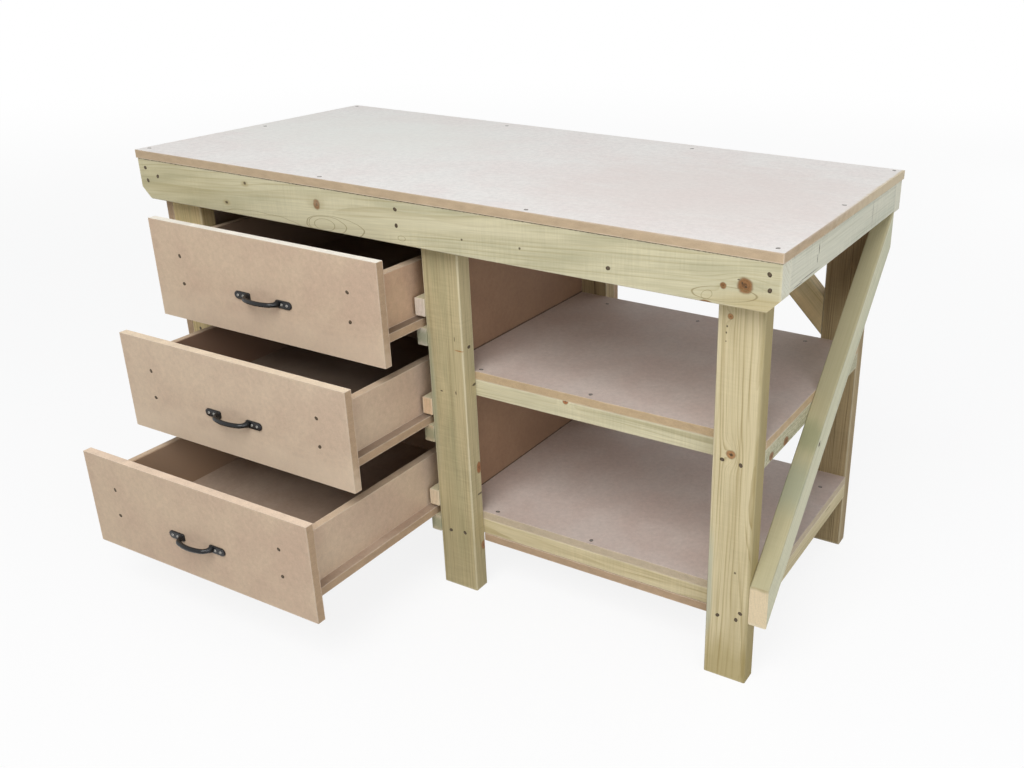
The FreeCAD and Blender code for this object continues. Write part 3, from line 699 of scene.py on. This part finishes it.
def iron_material():
    """Satin black paint over a cast surface."""
    material, tree, shader = new_material("satin black iron")
    place = add_node(tree, "ShaderNodeTexCoord").outputs["Object"]
    cast = cloud(tree, place, (900, 900, 900), detail=3, roughness=0.6)
    worn = rise(tree, cloud(tree, place, (120, 120, 120), detail=3), 0.55, 0.8)
    connect(tree, tint(tree, worn, colour("0C0D0F"), colour("1B1E22")), shader.inputs["Base Color"])
    connect(tree, calculate(tree, "ADD", 0.14, calculate(tree, "MULTIPLY", cast, 0.16)),
            shader.inputs["Roughness"])
    bump = add_node(tree, "ShaderNodeBump", {"Height": cast, "Distance": 0.3 * MM, "Strength": 0.3})
    connect(tree, bump.outputs[0], shader.inputs["Normal"])
    shader.inputs["Specular IOR Level"].default_value = 0.4
    return material


def mottled_material(name, dark, light, roughness, metallic):
    """Bare metal or wood with a fine mottle between a dark and a light colour."""
    material, tree, shader = new_material(name)
    place = add_node(tree, "ShaderNodeTexCoord").outputs["Object"]
    mottle = cloud(tree, place, (700, 700, 700), detail=3, roughness=0.6)
    connect(tree, tint(tree, mottle, colour(dark), colour(light)), shader.inputs["Base Color"])
    connect(tree, calculate(tree, "ADD", roughness, calculate(tree, "MULTIPLY", mottle, 0.2)),
            shader.inputs["Roughness"])
    shader.inputs["Metallic"].default_value = metallic
    return material


IRON = iron_material()
ZINC = mottled_material("dull zinc", "7B7873", "A5A29B", roughness=0.35, metallic=0.6)
# Painted shade: the dark timber screw heads and the rims round all the screws stand for heads sunk
# in shadowed countersinks, along with the steel's own dark oil and bruised fibres.
OILED_STEEL_IN_SHADE = mottled_material("oiled steel in painted shade", "45392B", "6B5C48", roughness=0.4, metallic=0.5)
BRUISED_WOOD_AND_SHADE = mottled_material("bruised wood and painted shade", "2B2118", "4C3C2B", roughness=0.8, metallic=0.0)


def new_piece(name, points, faces, materials, kinds, body):
    """A mesh piece that rides on a body; kinds holds each face's place in the list of materials."""
    mesh = bpy.data.meshes.new(name)
    mesh.from_pydata(np.asarray(points).tolist(), [], faces)
    for material in materials:
        mesh.materials.append(material)
    mesh.polygons.foreach_set("material_index", np.asarray(kinds, dtype=np.int32))
    mesh.shade_smooth()
    piece = bpy.data.objects.new(name, mesh)
    bpy.context.collection.objects.link(piece)
    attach(piece, body)
    return piece


def grid_faces(rows, columns, start=0):
    """Quads between the rows of a grid whose columns close into a ring."""
    row, column = np.meshgrid(np.arange(rows - 1), np.arange(columns), indexing="ij")
    after = (column + 1) % columns
    corners = (row * columns + column, row * columns + after,
               (row + 1) * columns + after, (row + 1) * columns + column)
    return (start + np.stack(corners, axis=-1).reshape(-1, 4)).tolist()


def ring_face(start, columns, upwards=False):
    """One face over a ring of points, taken the other way round unless it looks upwards."""
    ring = list(range(start, start + columns))
    return ring if upwards else ring[::-1]


# The right apron and the brace below it are sawn here, in the sizes that the photograph shows:
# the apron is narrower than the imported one, and the brace reaches up to it.

SAWN_WIDE, SAWN_THICK = 63 * MM, 38 * MM
SAWN_ARRIS = 3 * MM
ARRIS_STEPS = 6
CUT_TOLERANCE = 0.001 * MM
CREASE_ANGLE = math.radians(40)
END_MIDDLE, END_FRONT, END_BACK = 1503, LEG_FACE, 654
END_APRON_LOW = 819
BRACE_TOE, BRACE_HEEL = 143.5, 738
BRACE_SCREW = (273, 436)


def timber_section(crease):
    """A rectangle with rounded corners as a ring of (width, thickness) places.

    Each corner is a quarter circle about (+-(half width - r), +-(half thickness - r)). Each broad
    side also has a point at the crease.
    """
    turn = np.arange(4)[:, None] * np.pi / 2
    angle = turn + np.linspace(0, np.pi / 2, ARRIS_STEPS)
    corner = np.sign(np.stack((np.cos(turn + np.pi / 4), np.sin(turn + np.pi / 4)), axis=-1))
    half = np.array((SAWN_WIDE, SAWN_THICK)) / 2
    way = np.stack((np.cos(angle), np.sin(angle)), axis=-1)
    ring = (corner * (half - SAWN_ARRIS) + SAWN_ARRIS * way).reshape(-1, 2)
    ring = np.vstack((ring, (crease, half[1]), (crease, -half[1])))
    return ring[np.argsort(np.arctan2(ring[:, 1], ring[:, 0]))]


def saw_timber(name, node, start, grain, width, low_cut, high_cuts, crease=0.0, **look):
    """A timber that replaces a packed one: its section carried along its grain between cuts.

    Each point of the section runs along the grain from the low cut to the nearest high one, by
    (place - point) . normal / (grain . normal). A cut is (a place on its plane, the plane's
    normal), and two high cuts meet at the crease.
    """
    axes = (grain, width, grain.cross(width))
    base = np.array(start) + timber_section(crease) @ np.array(axes[1:])
    low, *highs = [(np.array(place) - base) @ np.array(normal) / grain.dot(normal)
                   for place, normal in (low_cut, *high_cuts)]
    high = np.min(highs, axis=0)
    points = np.vstack([base + run[:, None] * np.array(grain) for run in (low, high)])
    columns = len(base)
    faces = grid_faces(2, columns) + [ring_face(0, columns)]
    faces += [(columns + np.flatnonzero(cut - high < CUT_TOLERANCE)).tolist() for cut in highs]
    middle = start + grain * float(low.min() + high.max()) / 2
    half_size = (float(high.max() - low.min()) / 2, SAWN_WIDE / 2, SAWN_THICK / 2)
    material = marked_timber(name, middle, axes, half_size, **look)
    piece = new_piece(name, points, faces, (material,), [0] * len(faces), "bench")
    piece.data.set_sharp_from_angle(angle=CREASE_ANGLE)
    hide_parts(node)


def make_right_end():
    """The right apron, and the brace that climbs from the front leg to the apron's underside."""
    saw_timber(
        "sawn_end_apron", "apron_right",
        on_bench(END_MIDDLE, END_FRONT, END_APRON_LOW) + Z * SAWN_WIDE / 2, Y, Z,
        (on_bench(0, END_FRONT, 0), Y), [(on_bench(0, END_BACK, 0), Y)],
        cracks=[END_SHADOW_LINE_UNDER_TOP, ((END_FACE, 177, 862), (1.8, 11, 3)),
                ((END_FACE, 171, 845), (1.5, 8, 3)), ((END_FACE, 492, 853), (0.8, 28, 3)),
                ((END_FACE, 132, 827), (44, 0.8, 3)), ((END_FACE, 78, 824), (22, 0.7, 3))],
        Heart=(0, 0.1, -0.05), Line=0.35, Saw=0.35, **APRON_GREEN)

    level = (BRACE_HEEL - BRACE_TOE) / (END_BACK - END_FRONT)
    grain, width = (Y + level * Z).normalized(), (Z - level * Y).normalized()
    start = on_bench(END_MIDDLE, END_FRONT, BRACE_TOE) + Z * SAWN_WIDE / 2 / width.z
    corner = on_bench(END_MIDDLE, END_BACK, END_APRON_LOW)
    # Painted shade: the brace's upper face is darkened along its length.
    upper_face_in_shade = (END_MIDDLE, 325, 507)
    saw_timber(
        "sawn_end_brace", "end_brace", start, grain, width,
        (on_bench(0, END_FRONT, 0), Y), [(on_bench(0, END_BACK, 0), Y), (corner, Z)],
        crease=(corner - start).dot(width),
        cracks=[((END_FACE, *BRACE_SCREW), (8, 3, 4))],
        stains=[(upper_face_in_shade, (1500, 6, 200), "A2976F", 0.75),
                ((END_MIDDLE, 268, 452), (38, 8, 60), "7E8663", 0.5),
                ((END_MIDDLE, 190, 376), (60, 8, 60), "939C86", 0.5)],
        Heart=(0, 0.03, 0.08), Ring_width=0.006, Line=0.4, Wander=0.006, **BRACE_GREEN)


make_right_end()

# Screws

TIMBER_SCREW, BOARD_SCREW = 3.1 * MM, 3.2 * MM
FLUSH_CROWN = 0.45 * MM
SCREW_LIFT = 0.03
HEAD_SKIRT = 0.02 * MM
HEAD_SIDES, HEAD_RINGS = 24, 11
HEAD_TURN, HEAD_TOP, HEAD_CENTRE = 2.4, 1.05, 0.06
RIM_SHARE, RIM_UNEVEN = 1.34, 0.1
ARM_HALF_WIDE, ARM_HALF_LONG, ARM_DEEP = 0.15, 0.6, 0.93


def screw_head(radius, crown, turn):
    """A screw head with a cross recess, as rings from the rim round it in to its middle point.

    At a distance r from the middle it stands crown * (HEAD_TOP - (r / radius)^4). Each arm of the
    cross sinks it by exp(-(u / half width)^4 - (v / half length)^4), u across the arm and v along
    it. The rim reaches out to radius * RIM_SHARE * (1 + RIM_UNEVEN cos(2a + turn)), a being the
    direction. A low wall and a flat ring under the rim follow the middle point.
    """
    angle = np.linspace(0, 2 * np.pi, HEAD_SIDES, endpoint=False)
    away = np.concatenate(((RIM_SHARE, 1), np.linspace(1, HEAD_CENTRE, HEAD_RINGS)))
    away = away[:, None] * radius + 0 * angle
    away[0] *= 1 + RIM_UNEVEN * np.cos(2 * angle + turn)
    x, y = away * np.cos(angle), away * np.sin(angle)
    u, v = x * np.cos(turn) + y * np.sin(turn), y * np.cos(turn) - x * np.sin(turn)
    half_wide, half_long = ARM_HALF_WIDE * radius, ARM_HALF_LONG * radius
    arms = [np.exp(-((a / half_wide) ** 4) - (b / half_long) ** 4) for a, b in ((u, v), (v, u))]
    height = crown * (HEAD_TOP - (away / radius) ** 4) * (1 - ARM_DEEP * np.maximum(*arms))
    height[:2] = 0.0
    rings = np.stack((x, y, height), axis=-1).reshape(-1, 3)
    rim = rings[:HEAD_SIDES]
    return np.vstack((rings, (0, 0, height[-1].mean()), rim - (0, 0, HEAD_SKIRT), rim))


def screw_head_faces(start):
    """A screw head's faces: its rings, the fan round its middle point, its wall and underside."""
    rows = HEAD_RINGS + 2
    inner, tip = start + (rows - 1) * HEAD_SIDES, start + rows * HEAD_SIDES
    ring = np.arange(inner, tip)
    fan = np.stack((ring, np.roll(ring, -1), np.full(HEAD_SIDES, tip)), axis=-1).tolist()
    return (grid_faces(rows, HEAD_SIDES, start) + fan + grid_faces(2, HEAD_SIDES, tip + 1)
            + [ring_face(tip + 1, HEAD_SIDES)])


def make_screws(name, body, out, places, metal, rim, radius, crown=FLUSH_CROWN):
    """Screws in a face that looks along out, at places on the bench, each turned further."""
    turn = np.array(out.to_track_quat("Z", "Y").to_matrix())
    points, faces = [], []
    for number, place in enumerate(places):
        head = screw_head(radius, crown, number * HEAD_TURN)
        faces += screw_head_faces(number * len(head))
        points.append(head @ turn.T + np.array(on_bench(*place) + out * SCREW_LIFT * MM))
    inside = (HEAD_RINGS + 1) * HEAD_SIDES
    kinds = ([1] * HEAD_SIDES + [0] * inside + [1] * (HEAD_SIDES + 1)) * len(places)
    return new_piece(name, np.vstack(points), faces, (metal, rim), kinds, body)


def on_face(out, depth, pairs):
    """Places on a face that looks along out, at a depth, from their other two measures."""
    axis = [abs(part) > 0.5 for part in out].index(True)
    return [(*pair[:axis], depth, *pair[axis:]) for pair in pairs]


def timber_screws(name, out, depth, *pairs):
    """Screws in timber or in a panel's outside, dark from oil and from painted shade of their sunk
    heads.
    """
    make_screws(name, "bench", out, on_face(out, depth, pairs), OILED_STEEL_IN_SHADE, BRUISED_WOOD_AND_SHADE,
                TIMBER_SCREW)


def board_screws(name, depth, *pairs):
    """Bright screws in the top of a board."""
    make_screws(name, "bench", UP, on_face(UP, depth, pairs), ZINC, BRUISED_WOOD_AND_SHADE, BOARD_SCREW)


timber_screws("apron_front_screws", FRONT, APRON_FACE, (22, 862), (24, 834), (58, 847),
              (725, 863), (725, 831), (1198, 822), (1500, 860), (1502, 833))
timber_screws("leg_front_screws", FRONT, LEG_FACE, (1415, 483), (1452, 480), (1420, 142),
              (1467, 161), (1459, 144), (775, 140), (813, 144), (64, 140), (104, 148), (66, 479),
              (102, 474))
timber_screws("leg_middle_side_screws", RIGHT, MIDDLE_LEG_SIDE, (61, 580))
timber_screws("end_brace_screw", RIGHT, END_FACE, BRACE_SCREW)
timber_screws("apron_back_screws", BACK, BACK_APRON_FACE, (22, 862), (24, 820), (728, 860),
              (729, 818), (1500, 861), (1501, 822))
timber_screws("back_panel_screws", BACK, BACK_PANEL_FACE,
              *[(x, z) for x in (64, 790) for z in (150, 330, 540, 750)])
timber_screws("side_panel_screws", LEFT, SIDE_PANEL_FACE,
              *[(y, z) for y in (60, 634) for z in (150, 360, 570, 770)])
board_screws("worktop_screws", BENCH_HIGH, (15, 26), (28, 347), (525, 15), (1021, 14), (1504, 22),
             (1507, 347), (1505, 685), (1038, 662), (520, 668), (16, 684))
board_screws("upper_shelf_screws", UPPER_SHELF_TOP, (842, 91), (1103, 96), (1390, 97), (865, 571),
             (1108, 574), (1372, 580))
board_screws("lower_shelf_screws", LOWER_SHELF_TOP, (866, 91), (1104, 91), (1380, 94), (1448, 543),
             (862, 570), (1106, 573))

# Cast handles, in the CAD handle's sizes

PLATE_LONG, PLATE_WIDE, PLATE_THICK = 43 * MM, 17 * MM, 3.5 * MM
PLATE_CORNER = 4 * MM
PLATE_PROFILE = np.array([(0, 0), (0, 2.2), (0.35, 3), (1, 3.4), (2.2, 3.5)]) * MM
PLATE_STEPS, PLATE_CORNER_STEPS = 17, 7
BOW_FOOT, BOW_CORNER, BOW_REACH = 4 * MM, 16 * MM, 24 * MM
BOW_HALF_THICK = 5 * MM
FLARE_THICK, FLARE_THICK_FADE = 1 * MM, 5 * MM
FLARE_HIGH, FLARE_HIGH_FADE = 3.3 * MM, 8 * MM
BOW_SIDES, TIGHT_STEPS, LONG_STEPS = 28, 12, 14
PLATE_SCREW_RUNS = (54 * MM, 68 * MM)
PLATE_SCREW, PLATE_SCREW_CROWN = 3.2 * MM, 1.4 * MM


def end_plate(half_long):
    """An end plate as rings, each drawn in from its outline and standing a little higher.

    The outline is a half circle at the handle's end and two small arcs towards the bow. Drawing it
    in by d keeps the arcs' centres and takes d off their radii. PLATE_PROFILE holds d and height.
    """
    end, inner = half_long - PLATE_WIDE / 2, half_long - PLATE_LONG + PLATE_CORNER
    side = PLATE_WIDE / 2 - PLATE_CORNER
    arcs = ((end, 0, PLATE_WIDE / 2, -90, 90, PLATE_STEPS),
            (inner, side, PLATE_CORNER, 90, 180, PLATE_CORNER_STEPS),
            (inner, -side, PLATE_CORNER, 180, 270, PLATE_CORNER_STEPS))
    centre = np.concatenate([np.full((steps, 2), (x, y)) for x, y, *_, steps in arcs])
    radius = np.concatenate([np.full(steps, r) for _, _, r, _, _, steps in arcs])
    angle = np.radians(np.concatenate([np.linspace(*arc[3:]) for arc in arcs]))
    way = np.stack((np.cos(angle), np.sin(angle)), axis=-1)
    drawn = radius - PLATE_PROFILE[:, :1]
    flat = centre + drawn[..., None] * way
    height = np.broadcast_to(PLATE_PROFILE[:, 1:, None], (*flat.shape[:2], 1))
    return np.concatenate((flat, height), axis=-1)


def bow_rings(half_long):
    """The bow as rings across a line that leaves one plate straight, turns a tight corner, runs
    in one long arc and mirrors that to the other plate.

    The long arc's radius R joins the corner's radius r, whose centre lies at (across, foot), to
    the bow's middle: across^2 + (R - depth)^2 = (R - r)^2. At a distance s from its plate the bow
    is an ellipse whose half sizes are each BOW_HALF_THICK + flare * exp(-(s / fade)^2), so each
    foot flares into its plate.
    """
    foot = half_long - PLATE_LONG + BOW_HALF_THICK + FLARE_THICK
    across, depth = foot - BOW_CORNER, BOW_REACH - BOW_FOOT
    long = (across**2 + depth**2 - BOW_CORNER**2) / (2 * (depth - BOW_CORNER))
    slope = math.asin(across / (long - BOW_CORNER))
    tight = np.linspace(0, math.pi / 2 - slope, TIGHT_STEPS)
    wide = np.linspace(math.pi / 2 - slope, math.pi / 2, LONG_STEPS)[1:]
    turn = np.concatenate(((0, 0), tight, wide))
    x = np.concatenate(((foot, foot), across + BOW_CORNER * np.cos(tight), long * np.cos(wide)))
    out = np.concatenate(((1 * MM, 2.5 * MM), BOW_FOOT + BOW_CORNER * np.sin(tight),
                          BOW_REACH - long + long * np.sin(wide)))
    x, out = np.append(x, -x[-2::-1]), np.append(out, out[-2::-1])
    turn = np.append(turn, math.pi - turn[-2::-1])
    steps = np.append(0, np.cumsum(np.hypot(np.diff(x), np.diff(out))))
    run = np.minimum(steps, steps[-1] - steps)
    thick = BOW_HALF_THICK + FLARE_THICK * np.exp(-((run / FLARE_THICK_FADE) ** 2))
    high = BOW_HALF_THICK + FLARE_HIGH * np.exp(-((run / FLARE_HIGH_FADE) ** 2))
    angle = np.linspace(0, 2 * np.pi, BOW_SIDES, endpoint=False)[None, :]
    reach = thick[:, None] * np.cos(angle)
    rings = (x[:, None] + reach * np.cos(turn)[:, None], high[:, None] * np.sin(angle),
             out[:, None] + reach * np.sin(turn)[:, None])
    return np.stack(rings, axis=-1)


def make_handle(drawer):
    """A cast handle: two end plates and the bow between them, each a closed shell."""
    low, high = cad_corners(drawer + "_handle")
    half_long = (high.x - low.x) / 2
    plate = end_plate(half_long)
    shells = (plate, plate * (-1, -1, 1), bow_rings(half_long))
    points, faces = [], []
    for rings in shells:
        start = sum(map(len, points))
        rows, columns = rings.shape[:2]
        faces += grid_faces(rows, columns, start)
        faces.append(ring_face(start, columns))
        faces.append(ring_face(start + (rows - 1) * columns, columns, upwards=True))
        points.append(rings.reshape(-1, 3))
    x, up, out = np.vstack(points).T
    middle = ((low.x + high.x) / 2, high.y, (low.z + high.z) / 2)
    points = np.stack((middle[0] + x, middle[1] - out, middle[2] + up), axis=-1)
    handle = new_piece(drawer + "_cast_handle", points, faces, (IRON,), [0] * len(faces), drawer)
    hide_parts(drawer + "_handle")

    face = (high.y - WORKTOP_FRONT - PLATE_THICK) / MM
    places = [((middle[0] + side * run - WORKTOP_LEFT) / MM, face, middle[2] / MM)
              for side in (-1, 1) for run in PLATE_SCREW_RUNS]
    screws = make_screws(drawer + "_plate_screws", drawer, FRONT, places, ZINC, IRON, PLATE_SCREW,
                         PLATE_SCREW_CROWN)
    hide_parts(drawer + "_handle_screws")


# Screws through a drawer's front are measured from the middle of its lower edge.
FRONT_SCREW_RUN, FRONT_SCREW_HEIGHTS = 232, (82.5, 144)

for drawer in DRAWERS:
    make_handle(drawer)
    low, high = cad_corners(drawer + "_front")
    middle = ((low.x + high.x) / 2 - WORKTOP_LEFT) / MM
    face = (low.y - WORKTOP_FRONT) / MM
    places = [(middle + side * FRONT_SCREW_RUN, face, low.z / MM + height)
              for side in (-1, 1) for height in FRONT_SCREW_HEIGHTS]
    make_screws(drawer + "_front_screws", drawer, FRONT, places, OILED_STEEL_IN_SHADE, BRUISED_WOOD_AND_SHADE,
                TIMBER_SCREW)

# Floor, light and camera

FLOOR_REACH = 30.0
FLOOR_GLOW = 0.86
FLOOR_FAR = (2.0, 8.0)


def seen_directly(tree):
    """1 where the camera sees a thing, itself or in or through another, and 0 for its light."""
    path = add_node(tree, "ShaderNodeLightPath").outputs
    return calculate(tree, "MAXIMUM", path["Is Camera Ray"], path["Is Glossy Ray"],
                     path["Is Transmission Ray"])


def make_floor():
    """A pale floor.

    The eye sees it almost white, with the bench's shadow left in it, and quite white far off.
    """
    mesh = bpy.data.meshes.new("floor")
    corners = FLOOR_REACH * np.array([(-1, -1, 0), (1, -1, 0), (1, 1, 0), (-1, 1, 0)])
    mesh.from_pydata(corners.tolist(), [], [(0, 1, 2, 3)])
    floor = bpy.data.objects.new("floor", mesh)
    bpy.context.collection.objects.link(floor)
    material, tree, shader = new_material("pale floor")
    tree.nodes.remove(shader)
    matt = add_node(tree, "ShaderNodeBsdfDiffuse", {"Color": colour("C8C6C2")}).outputs[0]
    white = add_node(tree, "ShaderNodeBsdfDiffuse", {"Color": (0.9, 0.9, 0.9, 1)}).outputs[0]
    glow = add_node(tree, "ShaderNodeEmission", {"Color": (1, 1, 1, 1), "Strength": 1.0}).outputs[0]
    place = add_node(tree, "ShaderNodeTexCoord").outputs["Object"]
    far = rise(tree, combine(tree, "LENGTH", place), *FLOOR_FAR)
    share = calculate(tree, "ADD", FLOOR_GLOW, calculate(tree, "MULTIPLY", far, 1 - FLOOR_GLOW))
    bright = add_node(tree, "ShaderNodeMixShader", {0: share, 1: white, 2: glow}).outputs[0]
    surface = add_node(tree, "ShaderNodeMixShader", {0: seen_directly(tree), 1: matt, 2: bright})
    connect(tree, surface.outputs[0], tree.nodes["Material Output"].inputs["Surface"])
    mesh.materials.append(material)


def make_world():
    """Even soft light from all round, which the eye sees as white."""
    world = bpy.data.worlds.new("studio")
    world.use_nodes = True
    bpy.context.scene.world = world
    tree = world.node_tree
    tree.nodes.clear()
    soft = add_node(tree, "ShaderNodeBackground", {"Color": colour("F4F6FA"), "Strength": 0.44})
    white = add_node(tree, "ShaderNodeBackground", {"Color": (1, 1, 1, 1), "Strength": 1.0})
    both = add_node(tree, "ShaderNodeMixShader", {0: seen_directly(tree), 1: soft.outputs[0],
                                                  2: white.outputs[0]})
    add_node(tree, "ShaderNodeOutputWorld", {"Surface": both.outputs[0]})


def make_lamp(name, place, aim, size, power, shade="FFFFFF"):
    """A square soft lamp that faces a point."""
    light = bpy.data.lights.new(name, "AREA")
    light.shape = "SQUARE"
    light.size = size
    light.energy = power
    light.color = colour(shade)[:3]
    lamp = bpy.data.objects.new(name, light)
    bpy.context.collection.objects.link(lamp)
    turn = (Vector(aim) - Vector(place)).to_track_quat("-Z", "Y")
    lamp.matrix_world = Matrix.Translation(place) @ turn.to_matrix().to_4x4()


PICTURE_WIDE, PICTURE_HIGH = 1024, 768


def make_camera():
    """The photograph's camera: its place, heading, dip and small roll, and its picture's centre."""
    place = Vector((1.3273, -1.6972, 1.3909))
    heading, dip, roll = (math.radians(angle) for angle in (27.249, 23.542, 0.998))
    focus, centre_x, centre_y = 1057.8, 657.6, 375.4
    data = bpy.data.cameras.new("camera")
    data.sensor_width = 36.0
    data.lens = focus * data.sensor_width / PICTURE_WIDE
    data.shift_x = (PICTURE_WIDE / 2 - centre_x) / PICTURE_WIDE
    data.shift_y = (centre_y - PICTURE_HIGH / 2) / PICTURE_WIDE
    data.clip_end = 200.0
    camera = bpy.data.objects.new("camera", data)
    bpy.context.collection.objects.link(camera)
    turn = Matrix.Rotation(heading, 4, "Z") @ Matrix.Rotation(math.pi / 2 - dip, 4, "X")
    camera.matrix_world = Matrix.Translation(place) @ turn @ Matrix.Rotation(roll, 4, "Z")
    bpy.context.scene.camera = camera


make_floor()
make_world()
make_lamp("key", (0.8, -3.2, 4.4), (0, 0.2, 0.6), size=3.0, power=170.0)
make_lamp("fill", (3.8, -2.2, 1.6), (0.2, 0.0, 0.5), size=2.5, power=62.0, shade="F2F6FF")
make_lamp("back", (1.8, 4.6, 1.3), (0, 0.4, 0.5), size=2.4, power=30.0)
make_camera()
bpy.context.scene.view_settings.view_transform = "Standard"
